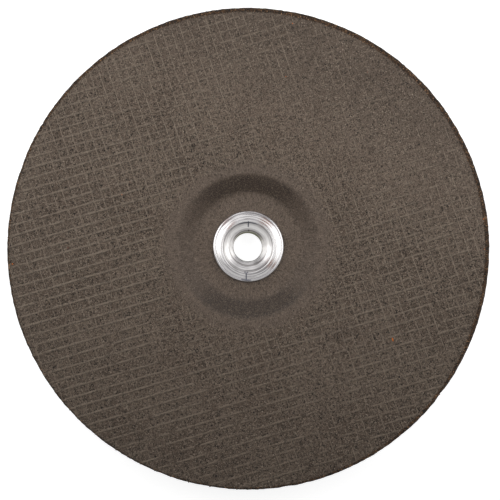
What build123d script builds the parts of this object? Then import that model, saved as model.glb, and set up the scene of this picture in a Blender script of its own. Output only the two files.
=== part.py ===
from build123d import *
import os
from math import ceil, cos, floor, radians, sin, sqrt, tan

# A depressed-centre grinding disc with a permanent threaded hub.
# Millimetres. The Z axis is the disc's axis, z = 0 is the end of the hub that meets the
# machine's spindle, and +Z points to the working face.

# Disc body
disc_d = 230.0            # outer diameter
disc_t = 6.4              # thickness over both cloths
recess_depth = 5.0        # how far the centre is set back from the working face
recess_corner_r = 25.8    # radius where the lines of the recess floor and wall meet
wall_deg = 32.0           # slope of the recess wall
floor_bend_r = 8.0        # bend from the recess floor into the wall
boss_bend_r = 1.0         # bend from the back of the ring into the raised boss
rim_edge = 0.7            # worn edge of the rim
arbor_d = 22.23           # hole for the hub

# Glass cloth
weft_pitch = 4.79
weft_w = 1.3
weft_t = 0.18
weft_deg = 16.1           # direction of the weft from +X, on the working face
weft_start = 2.2          # the first weft lies this far from the disc's axis
warp_pitch = 4.36
warp_w = 0.9
warp_t = 0.18
warp_deg = 108.7
warp_start = 1.8
yarn_crown = 0.6          # width of a yarn's top as a share of its base
cloth_margin = 1.4        # bare rim round the cloth, on average
cloth_shift = 0.9         # how far the cloth lies off centre
cloth_shift_deg = 225.0
cloth_bare_r = 38.0       # the yarns sink into the body inside this radius
cloth_inset = 1.5         # the outermost yarns lie this far or more inside the cloth's edge
back_cloth_turn = 33.0    # the back cloth lies turned against the front one

# Hub
thread_minor_r = 6.9      # crests of a 5/8 inch 11 thread
hex_af = 28.6             # across the spanner flats
hex_h = 8.0
hex_corner = 0.8          # how far the hexagon's corners are turned down
hex_root = 1.0            # how deep the hexagon's ring reaches into the round body
spindle_chamfer = 1.3
flange_d = 41.0
flange_t = 2.6
flange_edge_t = 1.6
barrel_gap = 0.05
lip_w = 5.2               # from the step inside the lip to its outer edge
lip_edge_h = 1.7          # height of the lip's outer edge above the recess floor
lip_edge_turn = 0.8       # the outer edge is turned down by this in two facets
lip_edge_facet = 0.25     # depth of the middle of that turn, square to each side
lip_crown_h = 2.5
groove_inset = 1.25       # from the lip's outer edge to the middle of the turned groove
groove_w = 0.5
groove_depth = 0.2
mouth_flare = 0.785       # how far the step inside the lip stands out past the arbor hole
mouth_round = 1.0         # from the lip's crown to that edge
mouth_step = 0.7
funnel_w = 2.55
funnel_depth = 2.0

# Sizes that follow
disc_r = disc_d / 2
body_t = disc_t - 2 * (weft_t + warp_t)
boss_z = hex_h + flange_t
floor_z = boss_z + body_t
back_z = boss_z + recess_depth
face_z = floor_z + recess_depth
cloth_r = disc_r - cloth_margin
mouth_r = arbor_d / 2 + mouth_flare
lip_r = mouth_r + lip_w
lip_edge_z = floor_z + lip_edge_h
crown_z = floor_z + lip_crown_h


# Abrasive body
def bends_that_fit(wall, inner, outer):
    # Both bends as asked for, or smaller by one share where the wall is too short for them.
    half_turn = tan(radians(wall_deg / 2))
    share = min(1.0, 0.98 * wall / ((inner + outer) * half_turn))
    return inner * share, outer * share


def corner_at(sketch, r, z):
    return sketch.vertices().sort_by_distance((r, z, 0))[0]


def abrasive_disc():
    # The wall is as thick as the ring, so the back follows the front at one distance.
    wall_run = recess_depth / tan(radians(wall_deg))
    back_shift = body_t * tan(radians(wall_deg / 2))
    front_in = (recess_corner_r, floor_z)
    front_out = (recess_corner_r + wall_run, face_z)
    back_in = (recess_corner_r + back_shift, boss_z)
    back_out = (recess_corner_r + back_shift + wall_run, back_z)
    outline = Polyline(
        (arbor_d / 2, floor_z), front_in, front_out, (disc_r, face_z),
        (disc_r, back_z), back_out, back_in, (arbor_d / 2, boss_z), close=True)
    section = make_face(outline)
    wall = recess_depth / sin(radians(wall_deg))
    front_bends = bends_that_fit(wall, floor_bend_r, boss_bend_r + body_t)
    back_bends = bends_that_fit(wall, floor_bend_r + body_t, boss_bend_r)
    for corners, bends in (((front_in, front_out), front_bends), ((back_in, back_out), back_bends)):
        for corner, bend in zip(corners, bends):
            section = fillet(corner_at(section, *corner), bend)
    for rim_z in (face_z, back_z):
        section = chamfer(corner_at(section, disc_r, rim_z), rim_edge)
    return revolve(Plane.XZ * section, Axis.Z)


# Glass cloth
def yarn_spans(offset, direction):
    # The stretches of one straight yarn between the bare centre and the cloth's edge.
    turn = radians(cloth_shift_deg - direction)
    middle = cloth_shift * cos(turn)
    reach = sqrt(cloth_r ** 2 - (offset - cloth_shift * sin(turn)) ** 2)
    low = middle - reach
    high = middle + reach
    if abs(offset) >= cloth_bare_r:
        return [(low, high)]
    bare = sqrt(cloth_bare_r ** 2 - offset ** 2)
    return [(low, -bare), (bare, high)]


def yarn_set(pitch, first, width, thick, direction, foot_z, side):
    # One set of parallel yarns. Side is +1 on the working face and -1 on the back.
    along = Vector(1, 0, 0).rotate(Axis.Z, direction)
    across = Vector(0, 1, 0).rotate(Axis.Z, direction)
    profile = make_face(Polyline(
        (-width / 2, 0), (width / 2, 0),
        (yarn_crown * width / 2, thick), (-yarn_crown * width / 2, thick), close=True))
    edge = cloth_r - cloth_shift - cloth_inset
    yarns = []
    for number in range(ceil((-edge - first) / pitch), floor((edge - first) / pitch) + 1):
        offset = first + number * pitch
        for start, end in yarn_spans(offset, direction):
            foot = along * start + across * offset + Vector(0, 0, foot_z)
            place = Plane(foot, x_dir=across * side, z_dir=along)
            yarns.append(extrude(place * profile, amount=end - start))
    return Compound(children=yarns)


def weft(turn, foot_z, side):
    return yarn_set(weft_pitch, weft_start, weft_w, weft_t, weft_deg + turn, foot_z, side)


def warp(turn, foot_z, side):
    # The warp lies over the weft, on the side away from the body.
    return yarn_set(
        warp_pitch, warp_start, warp_w, warp_t, warp_deg + turn, foot_z + side * weft_t, side)


# Hub
def lip_point(inset, depth=0):
    # A point on the lip's sloping face, so far in from its outer edge, or below that point.
    slope = (lip_crown_h - lip_edge_h) / (lip_r - mouth_r - mouth_round)
    return (lip_r - inset, lip_edge_z + slope * inset - depth)


def hub_turning():
    # Everything that is round: flange, barrel, rolled lip, funnel and bore.
    barrel_r = arbor_d / 2 - barrel_gap
    throat_r = mouth_r - funnel_w
    throat_z = crown_z - mouth_step - funnel_depth
    bore_top_z = throat_z - (throat_r - thread_minor_r)
    mouth = (mouth_r, crown_z - mouth_step)
    crown = (mouth_r + mouth_round, crown_z)
    section = make_face(Polyline(
        (thread_minor_r + spindle_chamfer, 0), (hex_af / 2, 0), (hex_af / 2, hex_h),
        (flange_d / 2, boss_z - flange_edge_t), (flange_d / 2, boss_z),
        (barrel_r, boss_z), (barrel_r, floor_z), (lip_r, floor_z),
        (lip_r, lip_edge_z - lip_edge_turn), lip_point(lip_edge_facet, lip_edge_facet),
        lip_point(lip_edge_turn), lip_point(groove_inset - groove_w / 2),
        lip_point(groove_inset, groove_depth), lip_point(groove_inset + groove_w / 2),
        crown, (mouth_r, crown_z), mouth, (throat_r, throat_z), (thread_minor_r, bore_top_z),
        (thread_minor_r, spindle_chamfer), close=True))
    section = fillet(corner_at(section, *crown), mouth_round)
    return revolve(Plane.XZ * section, Axis.Z)


def hub_hexagon():
    flats = extrude(RegularPolygon(hex_af / 2, 6, major_radius=False), amount=hex_h)
    corner_r = hex_af / 2 / cos(radians(30))
    turned_down = Cone(
        corner_r - hex_corner, corner_r - hex_corner + hex_h, hex_h,
        align=(Align.CENTER, Align.CENTER, Align.MIN))
    inside = Cylinder(hex_af / 2 - hex_root, hex_h, align=(Align.CENTER, Align.CENTER, Align.MIN))
    return (flats & turned_down) - inside


def threaded_hub():
    return hub_turning() + hub_hexagon()


parts = {
    "abrasive_disc": abrasive_disc(),
    "face_weft_yarns": weft(0, face_z, 1),
    "face_warp_yarns": warp(0, face_z, 1),
    "back_weft_yarns": weft(back_cloth_turn, back_z, -1),
    "back_warp_yarns": warp(back_cloth_turn, back_z, -1),
    "threaded_hub": threaded_hub(),
}

os.makedirs("parts", exist_ok=True)
for name, part in parts.items():
    export_step(part, f"parts/{name}.step")
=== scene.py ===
from math import ceil, cos, degrees, floor, pi, radians, sin, sqrt, tan

import bpy
import numpy as np
from mathutils import Matrix, Vector


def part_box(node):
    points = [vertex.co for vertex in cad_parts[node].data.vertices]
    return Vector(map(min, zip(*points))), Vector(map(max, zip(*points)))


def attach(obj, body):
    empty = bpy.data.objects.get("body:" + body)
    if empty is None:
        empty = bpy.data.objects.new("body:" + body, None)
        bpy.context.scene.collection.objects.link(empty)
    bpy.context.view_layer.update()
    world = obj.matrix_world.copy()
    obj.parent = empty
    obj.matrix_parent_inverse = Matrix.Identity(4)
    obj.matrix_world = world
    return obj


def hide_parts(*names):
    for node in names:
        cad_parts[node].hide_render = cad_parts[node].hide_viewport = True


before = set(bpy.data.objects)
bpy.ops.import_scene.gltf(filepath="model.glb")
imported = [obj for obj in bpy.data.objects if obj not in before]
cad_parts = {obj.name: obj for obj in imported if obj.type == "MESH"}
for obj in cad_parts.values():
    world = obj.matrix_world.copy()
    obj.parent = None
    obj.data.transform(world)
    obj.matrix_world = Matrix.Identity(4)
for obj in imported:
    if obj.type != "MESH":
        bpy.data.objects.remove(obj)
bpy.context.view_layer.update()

# Sizes, in millimetres, in the CAD's frame. Those that the frame gives are read from it.
MM = 0.001
disc_low, disc_high = (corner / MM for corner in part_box("abrasive_disc"))
hub_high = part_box("threaded_hub")[1] / MM
disc_r = disc_high.x
boss_z = disc_low.z
face_z = disc_high.z
crown_z = hub_high.z
flange_r = hub_high.x
recess_depth = 5.0
floor_z = face_z - recess_depth
back_z = boss_z + recess_depth
body_t = floor_z - boss_z
recess_corner_r = 25.8
wall_deg = 32.0
floor_bend_r = 8.0
boss_bend_r = 1.0
rim_edge = 0.7
rim_play = 0.06           # the worn rim stays this far inside the CAD's
rim_wear = 0.11           # mean depth of the wear
rim_wear_cell = 1.5
chip_depth = 0.6
chip_cell = 3.7
arbor_r = 11.115
unevenness = 0.04         # of the body's surface
body_around = 540         # points round the body

# Glass cloth. A yarn that shows plainly stands out by its rise. Patchy is how much that varies,
# emerges is the stretch outside the bare centre where the yarn comes up, and counts and over say
# which crossings it passes over.
WEFT = {"pitch": 4.79, "first": 2.2, "width": 1.45, "thick": 0.4, "deg": 16.1,
        "rise": 0.18, "patchy": 0.3, "emerges": 9.0, "counts": -1.0, "over": 0.0}
WARP = {"pitch": 4.36, "first": 1.8, "width": 0.56, "thick": 0.4, "deg": 108.7,
        "rise": 0.18, "patchy": 0.4, "emerges": 4.0, "counts": 1.0, "over": 1.0}
yarn_section_deg = (0, 50, 130, 180, 270)
cloth_r = disc_r - 1.4
cloth_shift = 0.9
cloth_shift_deg = 225.0
cloth_inset = 1.5
cloth_bare_r = 36.5
back_cloth_turn = 33.0
resin = 0.1               # the resin stands this far over the CAD's body under the cloth
yarn_top = 0.3            # no yarn stands higher than this over the CAD's body

# Grains, with their sizes as radii
face_grit_count = 18500   # in each of two pieces
face_grit_r = 0.36
back_grit_count = 5000
back_grit_r = 0.55
rim_grit_count = 6000
rim_grit_r = 0.38
face_band_count = 4000    # on the bare band between the cloth and the rim
back_band_count = 2000
band_grit_r = 0.34
grain_reach = disc_r - 0.045

# Single coloured grains in the working face, as (x, y, radius)
STRAY_RED = ((-85.7, -0.9, 0.36), (95.6, 3.4, 0.3), (57.0, 83.5, 0.3), (-56.6, 30.6, 0.28))
STRAY_ORANGE = ((112.0, 12.9, 0.36), (112.2, -1.4, 0.34), (-112.0, -8.5, 0.36), (21.2, 106.9, 0.36),
                (17.9, 81.2, 0.22), (-60.4, 24.4, 0.26))
SLIVER = {"x": 68.2, "y": -44.3, "length": 1.9, "width": 0.7}

# Hub
thread_minor_r = 7.05
thread_major_r = 7.98
thread_pitch = 2.309
hex_af = 28.6
hex_h = 8.0
hex_corner = 0.8
spindle_chamfer = 1.3
flange_edge_t = 1.6
mouth_r = 11.9
mouth_round = 1.0
mouth_step = 0.7
lip_r = 17.0
lip_edge_z = floor_z + 1.7
lip_edge_round = 0.75
groove_inset = 1.25
barrel_r = 11.06
funnel_w = 2.55
funnel_depth = 2.0
mouth_off_x = -0.25       # the lip was rolled over a little off the bore's centre
mouth_off_y = -0.45
hub_around = 216          # points round the hub


# Noise
def value_noise(x, y, cell, seed):
    # Smooth noise from -1 to 1 in the plane, with one random value for each cell corner.
    size = 256
    corners = np.random.default_rng(seed).uniform(-1, 1, (size, size))
    u = np.asarray(x) / cell
    v = np.asarray(y) / cell
    i = np.floor(u).astype(int)
    j = np.floor(v).astype(int)
    fu = u - i
    fv = v - j
    fu = fu * fu * (3 - 2 * fu)
    fv = fv * fv * (3 - 2 * fv)
    i0, i1, j0, j1 = i % size, (i + 1) % size, j % size, (j + 1) % size
    low = corners[i0, j0] * (1 - fu) + corners[i1, j0] * fu
    high = corners[i0, j1] * (1 - fu) + corners[i1, j1] * fu
    return low * (1 - fv) + high * fv


def grain_noise(x, y, cell, seed):
    return value_noise(x, y, cell, seed) * 0.6 + value_noise(y, -x, cell * 0.47, seed + 1) * 0.4


# Meshes
def mesh_piece(name, points, faces, node=None, smooth=True, values=None):
    mesh = bpy.data.meshes.new(name)
    if isinstance(faces, np.ndarray):
        faces = faces.tolist()
    mesh.from_pydata((np.asarray(points) * MM).tolist(), [], faces)
    mesh.polygons.foreach_set("use_smooth", [smooth] * len(mesh.polygons))
    for key, numbers in (values or {}).items():
        layer = mesh.attributes.new(key, "FLOAT", "POINT")
        layer.data.foreach_set("value", np.asarray(numbers, dtype=np.float32))
    mesh.update()
    piece = bpy.data.objects.new(name, mesh)
    bpy.context.scene.collection.objects.link(piece)
    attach(piece, "root")
    if node:
        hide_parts(node)
    return piece


def ring_quads(rings, around, close_rings):
    # Quads between rings of points, where each ring is closed.
    last = rings if close_rings else rings - 1
    i = np.arange(last)[:, None]
    j = np.arange(around)[None, :]
    i2 = (i + 1) % rings
    j2 = (j + 1) % around
    corners = [i * around + j, i * around + j2, i2 * around + j2, i2 * around + j]
    return np.stack([np.broadcast_to(c, (last, around)).ravel() for c in corners], axis=1)


def rounded_outline(corners):
    # Samples a closed outline of (r, z, bend radius, step along the run that follows).
    count = len(corners)
    starts = []
    ends = []
    arcs = []
    for k in range(count):
        here = np.array(corners[k][:2])
        before = np.array(corners[k - 1][:2]) - here
        after = np.array(corners[(k + 1) % count][:2]) - here
        before = before / np.linalg.norm(before)
        after = after / np.linalg.norm(after)
        bend = corners[k][2]
        if bend == 0:
            starts.append(here)
            ends.append(here)
            arcs.append([])
            continue
        turn = pi - np.arccos(np.clip(before @ after, -1, 1))
        reach = bend * tan(turn / 2)
        centre = here + (before + after) / np.linalg.norm(before + after) * bend / cos(turn / 2)
        first = here + before * reach
        last = here + after * reach
        pieces = max(2, int(ceil(degrees(turn) / 5)))
        arc = []
        for n in range(1, pieces):
            mix = first * (pieces - n) + last * n - centre * pieces
            arc.append(centre + mix / np.linalg.norm(mix) * bend)
        starts.append(first)
        ends.append(last)
        arcs.append(arc)
    line = []
    for k in range(count):
        line.append(starts[k])
        if corners[k][2]:
            line.extend(arcs[k])
            line.append(ends[k])
        run = starts[(k + 1) % count] - ends[k]
        parts = max(1, int(round(np.linalg.norm(run) / corners[k][3])))
        line.extend(ends[k] + run * n / parts for n in range(1, parts))
    return np.array(line)


# Abrasive body
wall_run = recess_depth / tan(radians(wall_deg))
bend_end_r = recess_corner_r + wall_run + (boss_bend_r + body_t) * tan(radians(wall_deg / 2))


def body_outline():
    shift = body_t * tan(radians(wall_deg / 2))
    return rounded_outline([
        (arbor_r, floor_z, 0, 1.3),
        (recess_corner_r, floor_z, floor_bend_r, 0.6),
        (recess_corner_r + wall_run, face_z, boss_bend_r + body_t, 0.95),
        (disc_r - rim_edge, face_z, 0, 0.35),
        (disc_r, face_z - rim_edge, 0, 0.6),
        (disc_r, back_z + rim_edge, 0, 0.35),
        (disc_r - rim_edge, back_z, 0, 3.0),
        (recess_corner_r + wall_run + shift, back_z, boss_bend_r, 1.0),
        (recess_corner_r + shift, boss_z, floor_bend_r + body_t, 3.0),
        (arbor_r, boss_z, 0, 1.5),
    ])


def worn_rim(angle):
    # The rim's radius, with its wear and small chips.
    run = np.asarray(angle) * disc_r
    wear = rim_wear * (1 + value_noise(run, 0 * run, rim_wear_cell, 29))
    chips = np.clip(value_noise(run, 0 * run + 9, chip_cell, 31) - 0.45, 0, 1)
    return disc_r - rim_play - wear - chip_depth * chips


def body_relief(r, z, angle):
    # How far the surface stands out from the outline: resin and grain on the ring, streaks down
    # the recess wall, and wear at the rim.
    x = r * np.cos(angle)
    y = r * np.sin(angle)
    ring = np.clip((r - bend_end_r - 0.5) / 3, 0, 1) * np.clip((disc_r - 0.9 - r) / 0.8, 0, 1)
    under_cloth = (z > face_z - 0.01) | (np.abs(z - back_z) < 0.01)
    height = resin * np.where(under_cloth, ring, 0)
    height = height + unevenness * (grain_noise(x, y, 1.9, 11) + value_noise(x, y, 14, 13) - 1)
    on_front = z > (floor_z + back_z) / 2
    wall = np.clip((z - floor_z - 0.1) / 0.8, 0, 1) * np.clip((face_z - z) / 0.5, 0, 1)
    wall = wall * (r < 40) * on_front
    arc = angle * 60 + 0 * r
    streaks = 0.05 * value_noise(arc, r * 0.12, 0.55, 17) + 0.03 * value_noise(arc, r * 0.1, 1.7, 19)
    height = height * (1 - wall) + (streaks - unevenness) * wall
    rim = np.clip((r - (disc_r - 1.1)) / 0.5, 0, 1)
    rough = worn_rim(angle) - disc_r - 0.07 + 0.06 * grain_noise(angle * disc_r, z + r, 1.3, 23)
    return height * (1 - rim) + rough * rim


def abrasive_body():
    outline = body_outline()
    tangent = np.roll(outline, -1, 0) - np.roll(outline, 1, 0)
    tangent /= np.linalg.norm(tangent, axis=1)[:, None]
    normal = np.stack([-tangent[:, 1], tangent[:, 0]], axis=1)
    angle = np.linspace(0, 2 * pi, body_around, endpoint=False)
    r = outline[:, 0][:, None]
    z = outline[:, 1][:, None]
    height = body_relief(r, z, angle)
    r2 = r + normal[:, 0][:, None] * height
    z2 = z + normal[:, 1][:, None] * height
    points = np.stack([r2 * np.cos(angle), r2 * np.sin(angle), z2], axis=-1).reshape(-1, 3)
    quads = ring_quads(len(outline), body_around, True)
    return mesh_piece("abrasive_body", points, quads, "abrasive_disc")


# Loose-looking grains, half sunk in the body
def grain_mesh(name, centres, normals, radius, lift, seed, reach=None):
    # Each grain is an uneven eight-sided crystal. The lift is the height of its middle, and
    # without one its tip is level with the surface. No grain passes the reach.
    rng = np.random.default_rng(seed)
    count = len(centres)
    helper = np.where(np.abs(normals[:, 2:3]) > 0.9, [[1.0, 0, 0]], [[0, 0, 1.0]])
    side = np.cross(normals, helper)
    side /= np.linalg.norm(side, axis=1)[:, None]
    other = np.cross(normals, side)
    spin = rng.uniform(0, 2 * pi, count)[:, None]
    a = side * np.cos(spin) + other * np.sin(spin)
    b = np.cross(normals, a)
    long = (radius * rng.uniform(0.9, 1.5, count))[:, None]
    short = (radius * rng.uniform(0.6, 1.0, count))[:, None]
    tall = (radius * rng.uniform(0.35, 0.6, count))[:, None]
    lean = rng.uniform(-0.35, 0.35, (count, 2))
    middle = centres + normals * (lift if lift else -tall)
    tip = middle + normals * tall + a * lean[:, :1] * long + b * lean[:, 1:] * short
    root = middle - normals * tall
    corners = [middle + a * long, middle + b * short, middle - a * long, middle - b * short]
    points = np.stack(corners + [tip, root], axis=1).reshape(-1, 3)
    if reach:
        points[:, :2] *= np.minimum(1, reach / np.hypot(points[:, 0], points[:, 1]))[:, None]
    pattern = np.array([[0, 1, 4], [1, 2, 4], [2, 3, 4], [3, 0, 4],
                        [1, 0, 5], [2, 1, 5], [3, 2, 5], [0, 3, 5]])
    faces = (pattern[None] + 6 * np.arange(count)[:, None, None]).reshape(-1, 3)
    tone = np.repeat(rng.uniform(0, 1, count), 6)
    return mesh_piece(name, points, faces, None, smooth=False, values={"tone": tone})


def off_the_yarns(x, y, turn):
    # How far a point is from the nearest yarn's middle, in half widths of that yarn.
    nearest = np.full(x.shape, 9.0)
    for yarn in (WEFT, WARP):
        direction = radians(yarn["deg"] + turn + 90)
        across = x * cos(direction) + y * sin(direction)
        off = np.abs((across - yarn["first"] + yarn["pitch"] / 2) % yarn["pitch"] - yarn["pitch"] / 2)
        nearest = np.minimum(nearest, off / (yarn["width"] / 2))
    return nearest


def off_the_cloth(x, y):
    # How far outside the cloth's round edge a point lies.
    a = radians(cloth_shift_deg)
    return np.hypot(x - cloth_shift * cos(a), y - cloth_shift * sin(a)) - cloth_r


def band_grains(name, count, seed, z, side):
    # Grains on the bare band between the cloth and the rim.
    rng = np.random.default_rng(seed)
    angle = rng.uniform(0, 2 * pi, count * 3)
    r = rng.uniform(disc_r - 2.6, disc_r - 0.85, count * 3)
    x = r * np.cos(angle)
    y = r * np.sin(angle)
    keep = np.flatnonzero(off_the_cloth(x, y) > -0.5)[:count]
    radius = np.minimum(band_grit_r * np.exp(rng.normal(0, 0.25, len(keep))), 0.45)
    centres = np.stack([x[keep], y[keep], np.full(len(keep), z + side * 0.05)], axis=1)
    normals = np.tile([0, 0, float(side)], (len(keep), 1))
    return grain_mesh(name, centres, normals, radius, -0.02, seed + 1, grain_reach)


def face_grains(name, count, size, seed, z, side, turn):
    rng = np.random.default_rng(seed)
    tries = count * 2
    r = np.sqrt(rng.uniform((bend_end_r - 0.5) ** 2, (disc_r - 1.2) ** 2, tries))
    angle = rng.uniform(0, 2 * pi, tries)
    x = r * np.cos(angle)
    y = r * np.sin(angle)
    free = off_the_yarns(x, y, turn) > rng.uniform(0.3, 1.1, tries)
    free &= (r - bend_end_r - 1) / 6 > rng.uniform(0, 1, tries)
    free &= off_the_cloth(x, y) < -0.4
    keep = np.flatnonzero(free)[:count]
    radius = size * np.exp(rng.normal(0, 0.25, len(keep)))
    radius = np.minimum(radius, size * 1.3)
    surface = z + side * resin
    centres = np.stack([x[keep], y[keep], np.full(len(keep), surface)], axis=1)
    normals = np.tile([0, 0, float(side)], (len(keep), 1))
    return grain_mesh(name, centres, normals, radius, -0.1, seed + 1)


def stray_grains(name, places, seed):
    # A few single grains of another colour in the working face, as (x, y, radius).
    places = np.array(places)
    centres = np.stack([places[:, 0], places[:, 1], np.full(len(places), face_z + resin)], axis=1)
    normals = np.tile([0, 0, 1.0], (len(places), 1))
    return grain_mesh(name, centres, normals, places[:, 2], 0.02, seed)


def stray_sliver(name, x, y, length, width):
    # One splinter that lies nearly along Y, as a lens with four long edges.
    top = face_z + yarn_top - 0.02
    low = face_z + resin - 0.1
    middle = (top + low) / 2
    lean = 0.1 * length
    rows = 9
    points = [(x - lean, y + length / 2, middle)]
    for n in range(1, rows):
        share = n / rows
        swell = sin(pi * share) ** 0.6
        cx = x - lean + 2 * lean * share
        cy = y + length / 2 - length * share
        half = width / 2 * swell
        rise = (top - low) / 2 * swell
        points += [(cx - half, cy, middle), (cx, cy, middle + rise),
                   (cx + half, cy, middle), (cx, cy, middle - rise)]
    points.append((x + lean, y - length / 2, middle))
    faces = [(0, 1 + (k + 1) % 4, 1 + k) for k in range(4)]
    for n in range(rows - 2):
        a = 1 + 4 * n
        for k in range(4):
            k2 = (k + 1) % 4
            faces += [(a + k, a + k2, a + 4 + k), (a + k2, a + 4 + k2, a + 4 + k)]
    last = len(points) - 1
    faces += [(last, last - 4 + k, last - 4 + (k + 1) % 4) for k in range(4)]
    return mesh_piece(name, points, faces, None, smooth=False)


def rim_grains(name, count, seed):
    rng = np.random.default_rng(seed)
    angle = rng.uniform(0, 2 * pi, count)
    z = rng.uniform(back_z + 0.1, face_z - 0.1, count)
    edge = np.minimum(face_z - z, z - back_z)
    bevel = edge < rim_edge
    r = worn_rim(angle) + 0.01 - np.where(bevel, rim_edge - edge, 0.0)
    up = np.where(bevel, np.where(z > (face_z + back_z) / 2, 1.0, -1.0), 0.0)
    normals = np.stack([np.cos(angle), np.sin(angle), up], axis=1)
    normals /= np.linalg.norm(normals, axis=1)[:, None]
    centres = np.stack([r * np.cos(angle), r * np.sin(angle), z], axis=1)
    radius = np.minimum(rim_grit_r * np.exp(rng.normal(0, 0.25, count)), 0.5)
    return grain_mesh(name, centres, normals, radius, None, seed + 1, grain_reach)


# Glass cloth
def yarn_spans(offset, direction):
    turn = radians(cloth_shift_deg - direction)
    middle = cloth_shift * cos(turn)
    reach = sqrt(cloth_r ** 2 - (offset - cloth_shift * sin(turn)) ** 2)
    if abs(offset) >= cloth_bare_r:
        return [(middle - reach, middle + reach)]
    bare = sqrt(cloth_bare_r ** 2 - offset ** 2)
    return [(middle - reach, -bare), (bare, middle + reach)]


def yarn_offsets(yarn):
    edge = cloth_r - cloth_shift - cloth_inset
    first = ceil((-edge - yarn["first"]) / yarn["pitch"])
    last = floor((edge - yarn["first"]) / yarn["pitch"])
    return [(n, yarn["first"] + n * yarn["pitch"]) for n in range(first, last + 1)]


def soft_spot(x, y, place, reach):
    return np.exp(-((x - place[0]) ** 2 + (y - place[1]) ** 2) / (2 * reach ** 2))


def weft_pull(x, y):
    # How far the weft was pushed sideways when the disc was pressed.
    return (-0.95 * soft_spot(x, y, (4, 78), 30) + 0.5 * soft_spot(x, y, (92, 20), 28)
            + 0.15 * soft_spot(x, y, (0, -80), 30) - 0.2 * soft_spot(x, y, (75, -62), 26))


def warp_pull(x, y):
    return (-0.3 * soft_spot(x, y, (-85, -5), 30) + 0.15 * soft_spot(x, y, (85, -20), 34)
            - 0.15 * soft_spot(x, y, (62, 62), 26))


def weft_show(x, y):
    # How plainly the weft stands out of the body, from 0 to 1.
    return (0.6 + 0.22 * soft_spot(x, y, (-84, -4), 34) + 0.1 * soft_spot(x, y, (-60, -68), 34)
            - 0.08 * soft_spot(x, y, (20, 80), 50) - 0.18 * soft_spot(x, y, (66, 76), 32))


def warp_show(x, y):
    return (0.7 + 0.35 * soft_spot(x, y, (-62, 66), 36) + 0.24 * soft_spot(x, y, (88, -10), 34)
            - 0.28 * soft_spot(x, y, (-26, -96), 42) - 0.4 * soft_spot(x, y, (66, 76), 32))


def yarn_course(yarn, cross, number, t, x, y, show_at, pull_at, seed):
    # Along one yarn: how plainly it shows, how far it strays sideways, the height of its top over
    # the surface, and its width as a share of the usual one.
    distance = np.hypot(x, y)
    patch = (0.5 * value_noise(x, y, 9, seed + 3)
             + 0.5 * value_noise(t + 53 * number, 0 * t, 3.2, seed + 5))
    show = np.clip(show_at(x, y) + yarn["patchy"] * patch, 0, 1)
    show = show * np.clip((distance - cloth_bare_r) / yarn["emerges"], 0, 1)
    ends = np.clip(np.minimum(t - t[0], t[-1] - t) / 2.0, 0, 1)
    show = show * (0.2 + 0.8 * ends)
    stray = pull_at(x, y) + 0.12 * value_noise(t + 37 * number, 0 * t + 5, 11, seed)
    crossing = (t * yarn["counts"] - cross["first"]) / cross["pitch"] + number + yarn["over"]
    lift = 0.045 * np.cos(pi * crossing) * np.minimum(1, 4 * show)
    sunk = resin * np.clip((bend_end_r + 3.5 - distance) / 3, 0, 1)
    top = np.minimum(resin - 0.06 - sunk + yarn["rise"] * show + lift, yarn_top)
    width = 1 + 0.15 * value_noise(t + 11 * number, 0 * t, 2.3, seed + 7)
    return show, stray, top, width


def yarn_layer(name, node, yarn, cross, turn, side, surface_z, show_at, pull_at, steps, seed):
    # One set of woven yarns, each a flattened tube that passes over and under the other set.
    direction = yarn["deg"] + turn
    along = np.array([cos(radians(direction)), sin(radians(direction))])
    across = np.array([-along[1], along[0]])
    section = np.radians(yarn_section_deg)
    around = len(section)
    half_w = yarn["width"] / 2 * np.cos(section)
    half_t = yarn["thick"] / 2 * np.sin(section)
    step = cross["pitch"] / steps
    points = []
    faces = []
    shows = []
    base = 0
    for number, offset in yarn_offsets(yarn):
        for low, high in yarn_spans(offset, direction):
            count = max(4, int(round((high - low) / step)) + 1)
            t = np.linspace(low, high, count)
            x = along[0] * t + across[0] * offset
            y = along[1] * t + across[1] * offset
            show, stray, top, width = yarn_course(yarn, cross, number, t, x, y, show_at, pull_at, seed)
            off = stray[:, None] + half_w * width[:, None]
            height = (top - yarn["thick"] / 2)[:, None] + half_t
            ring = np.stack([x[:, None] + across[0] * off, y[:, None] + across[1] * off,
                             surface_z + side * height], axis=-1)
            points.append(ring.reshape(-1, 3))
            quads = ring_quads(count, around, False) + base
            first_cap = np.arange(base, base + around)
            last_cap = first_cap + around * (count - 1)
            if side > 0:
                faces.extend(quads.tolist() + [first_cap[::-1].tolist(), last_cap.tolist()])
            else:
                faces.extend(quads[:, ::-1].tolist() + [first_cap.tolist(), last_cap[::-1].tolist()])
            shows.append(np.repeat(show, around))
            base += around * count
    # 0 to 1 across each yarn, for the painted shade along one long edge.
    shade_across = np.tile(0.5 - 0.5 * np.cos(section), base // around)
    values = {"show": np.concatenate(shows), "shade_across": shade_across}
    return mesh_piece(name, np.concatenate(points), faces, node, values=values)


def cloth(prefix, turn, side, surface_z, steps, seed):
    weft = yarn_layer(prefix + "_weft", prefix + "_weft_yarns", WEFT, WARP, turn, side,
                      surface_z, weft_show, weft_pull, steps, seed)
    warp = yarn_layer(prefix + "_warp", prefix + "_warp_yarns", WARP, WEFT, turn, side,
                      surface_z, warp_show, warp_pull, steps, seed + 40)
    return [weft, warp]


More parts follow.
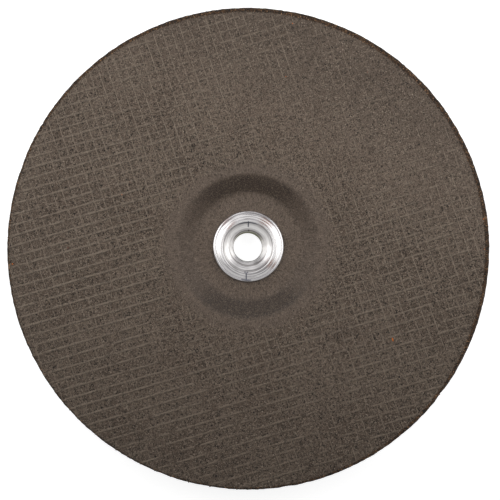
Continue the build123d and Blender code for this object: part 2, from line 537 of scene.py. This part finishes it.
# Hub
def hub_outline():
    # The hub's round section as (r, z) points, from the thread's upper end over the lip and down
    # the barrel to the flange's back edge.
    crown_r = mouth_r + mouth_round
    throat_r = mouth_r - funnel_w
    step_z = crown_z - mouth_step
    throat_z = step_z - funnel_depth
    bore_top = throat_z - (throat_r - thread_minor_r)
    slope = (crown_z - lip_edge_z) / (lip_r - crown_r)

    def lip(inset, depth=0.0):
        return (lip_r - inset, lip_edge_z + slope * inset - depth)

    line = [(thread_minor_r + 0.02, bore_top)]
    line += [(thread_minor_r + d, bore_top + d) for d in (0.6, 1.2, 1.7, 2.1)]
    line += [(throat_r - 0.12, throat_z - 0.12), (throat_r, throat_z), (throat_r + 0.14, throat_z + 0.05)]
    for n in range(1, 9):
        share = n / 9
        line.append((throat_r + funnel_w * share, throat_z + funnel_depth * share - 0.25 * sin(pi * share)))
    line += [(mouth_r - 0.05, step_z), (mouth_r - 0.02, step_z + 0.1), (mouth_r, crown_z - 0.25),
             (mouth_r + 0.08, crown_z - 0.08), (mouth_r + 0.3, crown_z - 0.01)]
    line += [lip(lip_r - crown_r - 0.15, 0.012), lip(lip_r - crown_r - 0.6), lip(2.9), lip(2.3), lip(1.75)]
    line += [lip(groove_inset + 0.28), lip(groove_inset + 0.2, 0.04), lip(groove_inset + 0.08, 0.16),
             lip(groove_inset - 0.05, 0.18), lip(groove_inset - 0.18, 0.06), lip(groove_inset - 0.26)]
    lip_rows = len(line)
    edge = lip_edge_round
    middle = (lip_r - edge, lip_edge_z - edge + 0.1)
    for deg in range(80, -1, -16):
        line.append((middle[0] + edge * cos(radians(deg)), middle[1] + edge * sin(radians(deg))))
    line += [(lip_r, floor_z + 0.5), (lip_r - 0.1, floor_z + 0.12), (lip_r - 0.35, floor_z), (14.0, floor_z)]
    line += [(barrel_r, floor_z), (barrel_r, boss_z), (15.5, boss_z), (flange_r - 0.3, boss_z)]
    line += [(flange_r - 0.08, boss_z - 0.08), (flange_r, boss_z - 0.3), (flange_r, boss_z - 1.3)]
    line += [(flange_r - 0.08, boss_z - 1.52), (flange_r - 0.3, boss_z - flange_edge_t)]
    return line, bore_top, lip_rows


def hex_r(angle):
    sixth = np.mod(angle, pi / 3) - pi / 6
    return hex_af / 2 / np.cos(sixth)


def thread_r(angle, z, low, high):
    # Radius of the bore's wall, with a 60 degree thread that fades out at both ends.
    phase = np.mod(z / thread_pitch - angle / (2 * pi), 1.0)
    ramp = 1 - np.abs(phase * 2 - 1)
    depth = np.clip((ramp - 0.14) / 0.74, 0, 1) * (thread_major_r - thread_minor_r)
    fade = np.clip((high - z) / 0.9, 0, 1) * np.clip((z - low) / 0.9, 0, 1)
    return thread_minor_r + depth * fade


def turned_hub():
    around = hub_around
    angle = np.linspace(0, 2 * pi, around, endpoint=False)
    outline, bore_top, lip_rows = hub_outline()
    rows = [(np.full(around, r), np.full(around, z)) for r, z in outline]
    off_centre = np.array([np.clip((15.5 - r) / 3, 0, 1) * np.clip((z - bore_top) / 2, 0, 1)
                           for r, z in outline])
    off_centre[lip_rows:] = 0
    hexagon = hex_r(angle)
    corner_r = hex_af / 2 / cos(pi / 6)
    rows.append((hexagon + 0.25, np.full(around, hex_h)))
    rows.append((hexagon, np.full(around, hex_h - 0.2)))
    for z in (6.0, 4.0, 2.0, 1.2, 0.8, 0.6, 0.4, 0.2, 0.0):
        rows.append((np.minimum(hexagon, corner_r - hex_corner + z), np.full(around, z)))
    flat_r = thread_minor_r + spindle_chamfer
    rows.append((np.full(around, hex_af / 2 - 0.6), np.zeros(around)))
    rows.append((np.full(around, flat_r + 0.15), np.zeros(around)))
    for z in np.arange(0.05, spindle_chamfer, 0.3):
        rows.append((np.full(around, flat_r - z), np.full(around, z)))
    low = spindle_chamfer
    for z in np.arange(low, bore_top, 0.13):
        rows.append((thread_r(angle, z, low - 0.4, bore_top), np.full(around, z)))
    r = np.array([row[0] for row in rows])
    z = np.array([row[1] for row in rows])
    off_centre = np.append(off_centre, np.zeros(len(rows) - len(outline)))[:, None]
    x = r * np.cos(angle) + mouth_off_x * off_centre
    y = r * np.sin(angle) + mouth_off_y * off_centre
    points = np.stack([x, y, z], axis=-1).reshape(-1, 3)
    return mesh_piece("turned_hub", points, ring_quads(len(rows), around, True), "threaded_hub")


# Materials
def srgb(*levels):
    # A colour given as it is seen, in levels of 0 to 255, made linear.
    shares = [level / 255 for level in levels]
    return tuple(s / 12.92 if s <= 0.04045 else ((s + 0.055) / 1.055) ** 2.4 for s in shares) + (1.0,)


class Nodes:
    """A material's nodes, with short calls for those that this scene uses."""

    def __init__(self, name):
        self.material = bpy.data.materials.new(name)
        self.material.use_nodes = True
        self.tree = self.material.node_tree
        self.tree.nodes.clear()
        self.shader = self.tree.nodes.new("ShaderNodeBsdfPrincipled")
        output = self.tree.nodes.new("ShaderNodeOutputMaterial")
        self.link(self.shader.outputs["BSDF"], output.inputs["Surface"])
        self.place = self.tree.nodes.new("ShaderNodeTexCoord").outputs["Object"]

    def link(self, source, socket):
        self.tree.links.new(source, socket)

    def feed(self, socket, value):
        if isinstance(value, bpy.types.NodeSocket):
            self.link(value, socket)
        else:
            socket.default_value = value

    def math(self, operation, a, b=0.0, c=0.0):
        node = self.tree.nodes.new("ShaderNodeMath")
        node.operation = operation
        for socket, value in zip(node.inputs, (a, b, c)):
            self.feed(socket, value)
        return node.outputs[0]

    def times(self, a, b):
        return self.math("MULTIPLY", a, b)

    def plus(self, a, b):
        return self.math("ADD", a, b)

    def minus(self, a, b):
        return self.math("SUBTRACT", a, b)

    def larger(self, a, b):
        return self.math("MAXIMUM", a, b)

    def noise(self, cell, detail=2.0, rough=0.5, place=None, offset=0.0, worm=0.0):
        node = self.tree.nodes.new("ShaderNodeTexNoise")
        node.noise_dimensions = "4D"
        node.inputs["W"].default_value = offset
        node.inputs["Scale"].default_value = 1 / (cell * MM)
        node.inputs["Detail"].default_value = detail
        node.inputs["Roughness"].default_value = rough
        node.inputs["Distortion"].default_value = worm
        self.link(place or self.place, node.inputs["Vector"])
        return node.outputs["Fac"]

    def ramp(self, value, low, high, to_low=0.0, to_high=1.0, smooth=True):
        node = self.tree.nodes.new("ShaderNodeMapRange")
        node.interpolation_type = "SMOOTHSTEP" if smooth else "LINEAR"
        for name, number in (("From Min", low), ("From Max", high), ("To Min", to_low), ("To Max", to_high)):
            node.inputs[name].default_value = number
        self.link(value, node.inputs["Value"])
        return node.outputs["Result"]

    def mix(self, share, a, b, blend="MIX"):
        node = self.tree.nodes.new("ShaderNodeMix")
        node.data_type = "RGBA"
        node.blend_type = blend
        self.feed(node.inputs[0], share)
        self.feed(node.inputs[6], a)
        self.feed(node.inputs[7], b)
        return node.outputs[2]

    def attribute(self, name):
        node = self.tree.nodes.new("ShaderNodeAttribute")
        node.attribute_name = name
        return node.outputs["Fac"]

    def axes(self):
        node = self.tree.nodes.new("ShaderNodeSeparateXYZ")
        self.link(self.place, node.inputs[0])
        return node.outputs

    def vector(self, x, y, z):
        node = self.tree.nodes.new("ShaderNodeCombineXYZ")
        for socket, value in zip(node.inputs, (x, y, z)):
            self.feed(socket, value)
        return node.outputs[0]

    def bump(self, height, distance, strength=1.0):
        node = self.tree.nodes.new("ShaderNodeBump")
        node.inputs["Distance"].default_value = distance * MM
        node.inputs["Strength"].default_value = strength
        self.link(height, node.inputs["Height"])
        return node.outputs["Normal"]

    def length(self, x, y):
        return self.math("SQRT", self.plus(self.times(x, x), self.times(y, y)))


BODY = srgb(92, 78, 67)
BODY_LIGHT = srgb(154, 139, 124)
# Nearly black, for the pits and for painted shade.
PIT_AND_SHADE = srgb(11, 10, 10)
FLOOR = srgb(111, 96, 84)
# The recess wall's darker tone, painted mostly in its north and south as shade.
WALL_TONE_AND_SHADE = srgb(63, 51, 42)
RIM_DARK = srgb(12, 9, 7)
RIM_BROWN = srgb(98, 74, 54)
RIM_TAN = srgb(138, 108, 80)
WEFT_TONE = srgb(118, 106, 94)
WARP_TONE = srgb(128, 115, 102)
STREAK_DIM = srgb(196, 196, 196)
STREAK_CLEAR = srgb(255, 255, 255)
GRIT_DARK = srgb(28, 23, 20)
GRIT_LIGHT = srgb(146, 132, 118)
RIM_GRIT_DARK = srgb(9, 7, 6)
RIM_GRIT_LIGHT = srgb(94, 70, 50)
RED_GRAIN = srgb(124, 52, 36)
ORANGE_GRAIN = srgb(216, 116, 36)
METAL_DIM = srgb(148, 145, 147)
METAL_CLEAR = srgb(190, 188, 187)
METAL_DARK_REFLECTION = srgb(104, 100, 101)
METAL_HIGHLIGHT = srgb(244, 242, 239)
METAL_BROWN_REFLECTION = srgb(118, 86, 74)
METAL_EDGE_SHADE = srgb(92, 82, 78)
MARK_DARK = srgb(58, 62, 74)
THROAT_SHADE = srgb(66, 52, 42)
THREAD_TINT = srgb(118, 120, 86)
grain_specular = 0.2

# Patches on the hub, as (x, y, reach)
# Where the painted brown reflections lie on the lip.
BROWN_REFLECTION_PATCHES = ((8.6, 12.2, 5.0), (-9.6, 11.2, 4.5), (10.5, -8.0, 4.0))
DABS = ((-1.65, -12.35, 0.6), (-0.45, -12.45, 0.6), (0.2, 7.8, 0.6))


def grain_noises(nodes):
    # Where the fine grain has tops and hollows, and the relief that they make.
    fine = nodes.noise(0.48, 2.0, 0.8, worm=0.8)
    tops = nodes.ramp(fine, 0.5, 0.64)
    hollows = nodes.ramp(nodes.noise(0.64, 2.0, 0.7, offset=3.0, worm=1.0), 0.38, 0.47, 1.0, 0.0)
    return tops, hollows, nodes.minus(fine, nodes.times(hollows, 0.6))


def fine_grain(nodes, base, tops, hollows, hollow_share, top_share):
    colour = nodes.mix(nodes.times(tops, top_share), base, BODY_LIGHT)
    return nodes.mix(nodes.times(hollows, hollow_share), colour, PIT_AND_SHADE)


def painted_shade(nodes, y, radius, on_wall, to_north):
    # Painted shade: how much darker the body is painted at the north and south of the recess wall,
    # on the shoulder round the recess, and far out in the north.
    south_wall = nodes.ramp(y, -18 * MM, -27 * MM, 0.0, 0.2)
    north_wall = nodes.ramp(y, 18 * MM, 27 * MM, 0.0, 0.08)
    wall = nodes.times(nodes.plus(south_wall, north_wall), on_wall)
    shoulder = nodes.times(within(nodes, radius, 36.0, 40.5, 1.2), 0.17)
    far_north = nodes.ramp(to_north, 45 * MM, 100 * MM, 0.0, 0.22)
    return nodes.plus(nodes.plus(wall, shoulder), far_north)


def bare_band(nodes, x, y):
    # 1 between the cloth's ragged edge and the rim, and 0 inside it.
    dx = nodes.minus(x, cloth_shift * cos(radians(cloth_shift_deg)) * MM)
    dy = nodes.minus(y, cloth_shift * sin(radians(cloth_shift_deg)) * MM)
    ragged = nodes.times(nodes.minus(nodes.noise(1.3, 2.0), 0.5), 1.6 * MM)
    reach = nodes.plus(nodes.length(dx, dy), ragged)
    return nodes.ramp(reach, (cloth_r - 0.6) * MM, (cloth_r - 0.1) * MM)


def abrasive_material():
    nodes = Nodes("bonded_grain")
    x, y = nodes.axes()[:2]
    radius = nodes.length(x, y)
    ring = nodes.ramp(radius, (bend_end_r + 1) * MM, (bend_end_r + 9) * MM)
    off_ring = nodes.minus(1.0, ring)
    on_wall = nodes.times(nodes.ramp(radius, 24 * MM, 27.5 * MM),
                          nodes.ramp(radius, 33 * MM, 36 * MM, 1.0, 0.0))
    slant = nodes.math("DIVIDE", nodes.times(y, y), nodes.times(radius, radius))
    # Painted shade, with some of the wall's own darker tone: the recess wall is dark in the north and south
    # and only a little darker in the east and west.
    wall_shade = nodes.times(on_wall, nodes.ramp(slant, 0.0, 0.7, 0.12, 1.0, smooth=False))
    to_north = nodes.plus(nodes.times(x, 0.4), nodes.times(y, 0.92))
    coarse = nodes.times(ring, nodes.ramp(to_north, 20 * MM, 75 * MM, 1.0, 0.5))

    base = nodes.mix(nodes.ramp(nodes.noise(26, 2.0), 0.35, 0.65, 0.0, 0.15), BODY, BODY_LIGHT)
    base = nodes.mix(coarse, FLOOR, base)
    base = nodes.mix(wall_shade, base, WALL_TONE_AND_SHADE)
    tops, hollows, height = grain_noises(nodes)
    calm_colour = fine_grain(nodes, base, tops, hollows, 0.6, 0.46)
    coarse_colour = fine_grain(nodes, base, tops, hollows, 1.0, 0.9)
    colour = nodes.mix(coarse, calm_colour, coarse_colour)

    angle = nodes.math("ARCTAN2", y, x)
    streak_place = nodes.vector(nodes.times(angle, 0.06), nodes.times(radius, 0.3), 0.0)
    streaks = nodes.noise(0.8, 2.0, 0.65, place=streak_place, worm=0.5)
    swept = nodes.mix(nodes.ramp(streaks, 0.32, 0.68), STREAK_DIM, STREAK_CLEAR)
    swept_share = nodes.times(nodes.ramp(wall_shade, 0.0, 1.0, 1.0, 0.4, smooth=False),
                              nodes.ramp(radius, 34 * MM, 37.5 * MM, 1.0, 0.3))
    colour = nodes.mix(nodes.times(off_ring, swept_share), colour, swept, "MULTIPLY")
    # Painted shade: the ring is painted darker towards the rim.
    colour = nodes.mix(nodes.ramp(radius, 60 * MM, 112 * MM, 0.0, 0.1, smooth=False), colour, PIT_AND_SHADE)
    # Painted shade on the recess wall, the shoulder and the far north.
    colour = nodes.mix(painted_shade(nodes, y, radius, on_wall, to_north), colour, PIT_AND_SHADE)
    # The bare band by the rim is painted nearly black with brown patches, partly its own dark colour and
    # partly painted shade along the rim edge.
    rim_colour = nodes.mix(nodes.ramp(nodes.noise(0.8, 1.0), 0.48, 0.7), RIM_DARK, RIM_BROWN)
    colour = nodes.mix(nodes.times(bare_band(nodes, x, y), 0.9), colour, rim_colour)

    calm = nodes.times(off_ring, nodes.ramp(wall_shade, 0.0, 1.0, 0.3, 0.09, smooth=False))
    relief = nodes.plus(nodes.times(height, coarse), nodes.times(nodes.plus(height, streaks), calm))
    nodes.link(colour, nodes.shader.inputs["Base Color"])
    nodes.link(nodes.ramp(ring, 0.0, 1.0, 0.4, 0.6, smooth=False), nodes.shader.inputs["Roughness"])
    nodes.shader.inputs["Specular IOR Level"].default_value = grain_specular
    nodes.link(nodes.bump(relief, 0.5), nodes.shader.inputs["Normal"])
    return nodes.material


def grain_material(name, dark, light, tan_share):
    nodes = Nodes(name)
    tone = nodes.attribute("tone")
    colour = nodes.mix(nodes.ramp(tone, 0.0, 0.9, smooth=False), dark, light)
    colour = nodes.mix(nodes.ramp(nodes.noise(0.4, 2.0), 0.35, 0.5, 0.6, 0.0), colour, PIT_AND_SHADE)
    if tan_share:
        tan_from = 1 - tan_share
        colour = nodes.mix(nodes.ramp(tone, tan_from, tan_from + 0.0005, smooth=False), colour, RIM_TAN)
    nodes.link(colour, nodes.shader.inputs["Base Color"])
    nodes.shader.inputs["Roughness"].default_value = 0.65
    nodes.shader.inputs["Specular IOR Level"].default_value = grain_specular
    return nodes.material


def stray_material(name, tone):
    nodes = Nodes(name)
    colour = nodes.mix(nodes.ramp(nodes.noise(0.5, 2.0), 0.4, 0.6, 0.0, 0.4), tone, BODY)
    nodes.link(colour, nodes.shader.inputs["Base Color"])
    nodes.shader.inputs["Roughness"].default_value = 0.6
    nodes.shader.inputs["Specular IOR Level"].default_value = grain_specular
    return nodes.material


def yarn_material(name, tone, side_shade):
    nodes = Nodes(name)
    base = nodes.mix(nodes.attribute("show"), BODY, tone)
    # Painted shade along one long edge of each yarn.
    shade = nodes.ramp(nodes.attribute("shade_across"), 0.55, 0.85, 0.0, side_shade)
    base = nodes.mix(shade, base, PIT_AND_SHADE)
    tops, hollows, height = grain_noises(nodes)
    nodes.link(fine_grain(nodes, base, tops, hollows, 0.65, 0.42), nodes.shader.inputs["Base Color"])
    nodes.shader.inputs["Roughness"].default_value = 0.6
    nodes.shader.inputs["Specular IOR Level"].default_value = grain_specular
    nodes.link(nodes.bump(height, 0.16, 0.9), nodes.shader.inputs["Normal"])
    return nodes.material


def within(nodes, value, low, high, soft):
    # 1 where the value, in millimetres, lies between two limits, with soft ends.
    return nodes.times(nodes.ramp(value, (low - soft) * MM, (low + soft) * MM),
                       nodes.ramp(value, (high - soft) * MM, (high + soft) * MM, 1.0, 0.0))


def patch_at(nodes, x, y, east, north, reach):
    # 1 at a place on the hub, fading to 0 at the reach.
    distance = nodes.length(nodes.minus(x, east * MM), nodes.minus(y, north * MM))
    return nodes.ramp(distance, 0.2 * reach * MM, reach * MM, 1.0, 0.0)


def painted_highlights(nodes, x, y, radius, mouth):
    # Painted highlights: bright metal to the east and west, less so on the lip, and in the funnel to the
    # north too.
    inside = nodes.ramp(mouth, 11.2 * MM, 12.0 * MM, 1.0, 0.0)
    north = nodes.times(nodes.ramp(y, -2 * MM, 3 * MM, 0.0, 0.42), inside)
    side = nodes.math("DIVIDE", nodes.times(x, x), nodes.times(radius, radius))
    east_west = nodes.times(nodes.ramp(side, 0.5, 0.9, 0.0, 0.5), nodes.ramp(inside, 0.0, 1.0, 0.35, 1.0))
    return nodes.larger(north, east_west)


def brown_reflections(nodes, x, y, mouth, angle):
    # Painted brown reflections in a few places on the lip, in streaks along the turning.
    patches = 0.0
    for east, north, reach in BROWN_REFLECTION_PATCHES:
        patches = nodes.larger(patches, patch_at(nodes, x, y, east, north, reach))
    place = nodes.vector(mouth, nodes.times(angle, 0.3 * MM), 0.0)
    along_turning = nodes.noise(0.42, 2.0, 0.7, offset=8.0, place=place)
    return nodes.times(nodes.times(nodes.ramp(along_turning, 0.49, 0.56), patches), 0.85)


def lip_marks(nodes, x, y, radius, mouth):
    # The dark marks on the lip: a stroke and a bar in the north, and a forked stroke with a foot
    # in the south.
    north_stroke = nodes.times(within(nodes, x, -0.3, 0.3, 0.15), within(nodes, y, 9.4, 12.0, 0.3))
    south_stroke = nodes.times(within(nodes, x, -1.35, -0.8, 0.15), within(nodes, y, -16.1, -12.6, 0.3))
    marks = nodes.larger(north_stroke, south_stroke)
    for east, north, reach in DABS:
        marks = nodes.larger(marks, patch_at(nodes, x, y, east, north, reach))
    foot = nodes.times(within(nodes, x, -3.4, 1.2, 0.6), within(nodes, radius, 15.9, 16.4, 0.15))
    marks = nodes.larger(marks, nodes.times(foot, nodes.ramp(y, -12 * MM, -14 * MM)))
    bar = nodes.times(within(nodes, mouth, 11.6, 12.15, 0.1), within(nodes, y, 10.6, 13.0, 0.5))
    return nodes.larger(marks, nodes.times(bar, 0.85))


def hub_colour(nodes, x, y, z, radius, mouth, marks):
    angle = nodes.math("ARCTAN2", y, x)
    rings = nodes.noise(0.6, 2.0, 0.6, place=nodes.vector(radius, 0.0, nodes.times(z, 0.6)))
    arc_place = nodes.vector(radius, nodes.times(angle, 0.9 * MM), 0.0)
    arcs = nodes.noise(0.65, 1.0, 0.5, offset=5.0, place=arc_place)
    colour = nodes.mix(nodes.ramp(rings, 0.36, 0.64), METAL_DIM, METAL_CLEAR)
    # Painted dark reflections in arcs along the turning.
    colour = nodes.mix(nodes.ramp(arcs, 0.34, 0.46, 0.65, 0.0), colour, METAL_DARK_REFLECTION)
    # Painted highlights to the east and west and in the north of the funnel.
    colour = nodes.mix(painted_highlights(nodes, x, y, radius, mouth), colour, METAL_HIGHLIGHT)
    # Painted brown reflections on the lip.
    colour = nodes.mix(brown_reflections(nodes, x, y, mouth, angle), colour, METAL_BROWN_REFLECTION)
    # Painted shade: a dark line in the step at the mouth, and a dark line in the throat that grows towards
    # the south.
    step_line = nodes.times(within(nodes, mouth, 11.72, 12.0, 0.08), nodes.ramp(arcs, 0.4, 0.6, 0.15, 0.6))
    to_south = nodes.ramp(y, 1.0 * MM, -5.0 * MM, 0.0, 0.7)
    throat_line = nodes.times(within(nodes, radius, 9.05, 9.35, 0.1), to_south)
    colour = nodes.mix(nodes.larger(step_line, throat_line), colour, METAL_EDGE_SHADE)
    # The lip's dark marks, painted dark blue-grey.
    colour = nodes.mix(nodes.times(marks, 0.9), colour, MARK_DARK)
    to_north = nodes.ramp(y, 1.0 * MM, 6.0 * MM)
    throat = nodes.times(within(nodes, radius, 7.55, 8.05, 0.15), to_north)
    colour = nodes.mix(nodes.times(throat, 0.7), colour, THROAT_SHADE)
    thread_top = nodes.times(within(nodes, radius, 6.5, 7.4, 0.15), to_north)
    return nodes.mix(nodes.times(thread_top, 0.8), colour, THREAD_TINT)


def hub_material():
    nodes = Nodes("turned_metal")
    x, y, z = nodes.axes()
    radius = nodes.length(x, y)
    mouth = nodes.length(nodes.minus(x, mouth_off_x * MM), nodes.minus(y, mouth_off_y * MM))
    marks = lip_marks(nodes, x, y, radius, mouth)
    nodes.link(hub_colour(nodes, x, y, z, radius, mouth, marks), nodes.shader.inputs["Base Color"])
    nodes.shader.inputs["Metallic"].default_value = 1.0
    nodes.link(nodes.ramp(mouth, 11.8 * MM, 12.6 * MM, 0.37, 0.24), nodes.shader.inputs["Roughness"])
    nodes.shader.inputs["Anisotropic"].default_value = 0.93
    nodes.shader.inputs["Anisotropic Rotation"].default_value = 0.25
    tangent = nodes.tree.nodes.new("ShaderNodeTangent")
    tangent.direction_type = "RADIAL"
    tangent.axis = "Z"
    nodes.link(tangent.outputs[0], nodes.shader.inputs["Tangent"])
    swell = nodes.noise(2.4, 0.0, 0.5, offset=11.0, place=nodes.vector(radius, 0.0, z))
    height = nodes.minus(swell, nodes.times(marks, 0.3))
    nodes.link(nodes.bump(height, 0.05, 0.8), nodes.shader.inputs["Normal"])
    return nodes.material


# Studio, in metres
floor_half = 6.0
floor_grey = 0.5
lamp_distance = 0.28
lamp_size = 0.2


def seen_directly(tree):
    # 1 for rays from the camera and for reflections and refractions of it, 0 for the rest.
    path = tree.nodes.new("ShaderNodeLightPath")
    share = path.outputs["Is Camera Ray"]
    for other in ("Is Glossy Ray", "Is Transmission Ray"):
        larger = tree.nodes.new("ShaderNodeMath")
        larger.operation = "MAXIMUM"
        tree.links.new(share, larger.inputs[0])
        tree.links.new(path.outputs[other], larger.inputs[1])
        share = larger.outputs[0]
    return share


def studio_world(level):
    world = bpy.data.worlds.new("studio")
    bpy.context.scene.world = world
    world.use_nodes = True
    tree = world.node_tree
    tree.nodes.clear()
    dim = tree.nodes.new("ShaderNodeBackground")
    dim.inputs["Strength"].default_value = level
    white = tree.nodes.new("ShaderNodeBackground")
    white.inputs["Strength"].default_value = 1.0
    white.inputs["Color"].default_value = (1, 1, 1, 1)
    mix = tree.nodes.new("ShaderNodeMixShader")
    output = tree.nodes.new("ShaderNodeOutputWorld")
    tree.links.new(seen_directly(tree), mix.inputs[0])
    tree.links.new(dim.outputs[0], mix.inputs[1])
    tree.links.new(white.outputs[0], mix.inputs[2])
    tree.links.new(mix.outputs[0], output.inputs["Surface"])


def studio_floor(glow):
    mesh = bpy.data.meshes.new("studio_floor")
    corners = [(x * floor_half, y * floor_half, 0) for x, y in ((-1, -1), (1, -1), (1, 1), (-1, 1))]
    mesh.from_pydata(corners, [], [(0, 1, 2, 3)])
    floor_piece = bpy.data.objects.new("studio_floor", mesh)
    bpy.context.scene.collection.objects.link(floor_piece)
    material = bpy.data.materials.new("studio_floor")
    material.use_nodes = True
    tree = material.node_tree
    tree.nodes.clear()
    diffuse = tree.nodes.new("ShaderNodeBsdfDiffuse")
    diffuse.inputs["Color"].default_value = (floor_grey, floor_grey, floor_grey, 1.0)
    emission = tree.nodes.new("ShaderNodeEmission")
    strength = tree.nodes.new("ShaderNodeMath")
    strength.operation = "MULTIPLY"
    strength.inputs[1].default_value = glow
    tree.links.new(seen_directly(tree), strength.inputs[0])
    tree.links.new(strength.outputs[0], emission.inputs["Strength"])
    both = tree.nodes.new("ShaderNodeAddShader")
    output = tree.nodes.new("ShaderNodeOutputMaterial")
    tree.links.new(diffuse.outputs[0], both.inputs[0])
    tree.links.new(emission.outputs[0], both.inputs[1])
    tree.links.new(both.outputs[0], output.inputs["Surface"])
    mesh.materials.append(material)


def soft_light(name, azimuth, elevation, share):
    # A square lamp that faces the disc. Azimuth 0 is the +X side and 90 the +Y side.
    # A share of 1 lights a surface that faces the lamp at the level where colours look as written.
    light = bpy.data.lights.new(name, "AREA")
    light.shape = "SQUARE"
    light.size = lamp_size
    light.energy = share * pi ** 2 * lamp_distance ** 2
    lamp = bpy.data.objects.new(name, light)
    a = radians(azimuth)
    e = radians(elevation)
    away = Vector((cos(a) * cos(e), sin(a) * cos(e), sin(e)))
    lamp.location = Vector((0, 0, face_z * MM)) + away * lamp_distance
    lamp.rotation_mode = "QUATERNION"
    lamp.rotation_quaternion = away.to_track_quat("Z", "Y")
    bpy.context.scene.collection.objects.link(lamp)


# Camera. Its place comes from how the rim, the hub's lip and the bore lie against each other.
camera_height = 420.0
camera_x = -11.36
camera_y = -14.20
lean_north_deg = 2.25
lean_west_deg = -0.224
focal_mm = 63.66
picture_shift = (0.0437, -0.0175)


def camera():
    data = bpy.data.cameras.new("camera")
    data.lens = focal_mm
    data.sensor_width = 36.0
    data.shift_x, data.shift_y = picture_shift
    data.clip_start = 0.01
    cam = bpy.data.objects.new("camera", data)
    cam.location = Vector((camera_x, camera_y, face_z + camera_height)) * MM
    east = -sin(radians(lean_west_deg))
    north = sin(radians(lean_north_deg))
    forward = Vector((east, north, -sqrt(1 - east ** 2 - north ** 2)))
    right = forward.cross(Vector((0, 1, 0))).normalized()
    up = right.cross(forward)
    cam.rotation_mode = "QUATERNION"
    cam.rotation_quaternion = Matrix((right, up, -forward)).transposed().to_quaternion()
    bpy.context.scene.collection.objects.link(cam)
    bpy.context.scene.camera = cam


body = abrasive_body()
body.data.materials.append(abrasive_material())
face_grit = grain_material("face_grit", GRIT_DARK, GRIT_LIGHT, 0.0)
for number in range(2):
    grains = face_grains(f"face_grit_{number + 1}", face_grit_count, face_grit_r, 300 + 7 * number,
                         face_z, 1, 0.0)
    grains.data.materials.append(face_grit)
back_grains = face_grains("back_grit", back_grit_count, back_grit_r, 330, back_z, -1, back_cloth_turn)
back_grains.data.materials.append(face_grit)
rim_grit = grain_material("rim_grit", RIM_GRIT_DARK, RIM_GRIT_LIGHT, 0.1)
rim_grains("rim_grit", rim_grit_count, 340).data.materials.append(rim_grit)
band_grains("face_band_grit", face_band_count, 350, face_z, 1).data.materials.append(rim_grit)
band_grains("back_band_grit", back_band_count, 360, back_z, -1).data.materials.append(rim_grit)
stray_red = stray_material("stray_red", RED_GRAIN)
stray_orange = stray_material("stray_orange", ORANGE_GRAIN)
stray_grains("stray_red_grains", STRAY_RED, 370).data.materials.append(stray_red)
stray_grains("stray_orange_grains", STRAY_ORANGE, 380).data.materials.append(stray_orange)
stray_sliver("stray_sliver", **SLIVER).data.materials.append(stray_orange)
yarn_finishes = (yarn_material("resin_soaked_weft", WEFT_TONE, 0.4),
                 yarn_material("resin_soaked_warp", WARP_TONE, 0.15))
for strands in (cloth("face", 0.0, 1, face_z, 5, 100), cloth("back", back_cloth_turn, -1, back_z, 3, 200)):
    for strand, finish in zip(strands, yarn_finishes):
        strand.data.materials.append(finish)
hub = turned_hub()
hub.data.materials.append(hub_material())

studio_world(0.08)
studio_floor(0.88)
soft_light("east_box", 14, 50, 0.31)
soft_light("west_box", 158, 50, 0.345)
soft_light("low_west_box", 160, 18, 0.19)
soft_light("low_east_box", 28, 18, 0.145)
soft_light("north_box", 88, 32, 0.195)
soft_light("north_east_box", 34, 50, 0.09)
soft_light("high_north_box", 130, 66, 0.08)
camera()

bpy.context.scene.view_settings.view_transform = "Standard"
